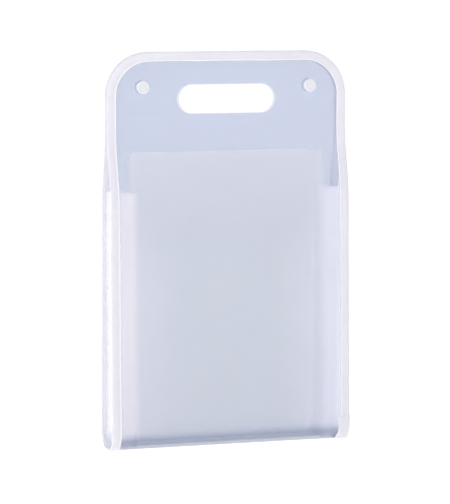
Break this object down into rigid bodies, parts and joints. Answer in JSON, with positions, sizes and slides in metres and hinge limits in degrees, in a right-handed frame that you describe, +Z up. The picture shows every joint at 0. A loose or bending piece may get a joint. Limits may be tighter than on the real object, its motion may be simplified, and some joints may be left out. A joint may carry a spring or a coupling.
{
  "type": "portfolio case",
  "caption": "Upright translucent portfolio case with folded covers, bound edges, pleated side gussets, dividers, a hand slot and press studs; the front cover swings open and the dividers fan.",
  "frame": {"origin": "middle of the base, on the surface the case stands on", "axes": "+Z up, the front cover faces -Y, +X to the right as seen from the front"},
  "size_m": [0.2605, 0.0423, 0.409],
  "materials": {
    "sheet": "frosted translucent",
    "tape": "woven",
    "film": "frosted translucent",
    "stud": "smooth"
  },
  "bodies": {
    "back": {"back_cover": "sheet", "back_binding": "tape", "cap_back_left": "stud", "cap_back_right": "stud", "stud_left": "stud", "stud_right": "stud"},
    "front": {"front_cover": "sheet", "front_binding": "tape", "binding_lap": "tape", "cap_front_left": "stud", "cap_front_right": "stud", "socket_left": "stud", "socket_right": "stud"},
    "divider_1": {"divider_1": "film", "gusset_left_1": "film", "gusset_right_1": "film"},
    "divider_2": {"divider_2": "film", "gusset_left_2": "film", "gusset_right_2": "film"},
    "divider_3": {"divider_3": "film", "gusset_left_3": "film", "gusset_right_3": "film"},
    "divider_4": {"divider_4": "film", "gusset_left_4": "film", "gusset_right_4": "film"}
  },
  "joints": [
    {"name": "front_open", "type": "hinge", "parent": "back", "child": "front", "pos_m": [0, -0.01926, 0.012], "axis": [1, 0, 0], "range_deg": [0, 25]},
    {"name": "divider_1_fan", "type": "hinge", "parent": "back", "child": "divider_1", "pos_m": [0, -0.01926, 0.012], "axis": [1, 0, 0], "range_deg": [0, 2]},
    {"name": "divider_2_fan", "type": "hinge", "parent": "back", "child": "divider_2", "pos_m": [0, -0.01926, 0.012], "axis": [1, 0, 0], "range_deg": [0, 9]},
    {"name": "divider_3_fan", "type": "hinge", "parent": "back", "child": "divider_3", "pos_m": [0, -0.01926, 0.012], "axis": [1, 0, 0], "range_deg": [0, 16]},
    {"name": "divider_4_fan", "type": "hinge", "parent": "back", "child": "divider_4", "pos_m": [0, -0.01926, 0.012], "axis": [1, 0, 0], "range_deg": [0, 23]}
  ],
  "couplings": [
    {"joint": "divider_1_fan", "follows": "front_open", "ratio": 0.08},
    {"joint": "divider_2_fan", "follows": "front_open", "ratio": 0.36},
    {"joint": "divider_3_fan", "follows": "front_open", "ratio": 0.64},
    {"joint": "divider_4_fan", "follows": "front_open", "ratio": 0.92}
  ]
}
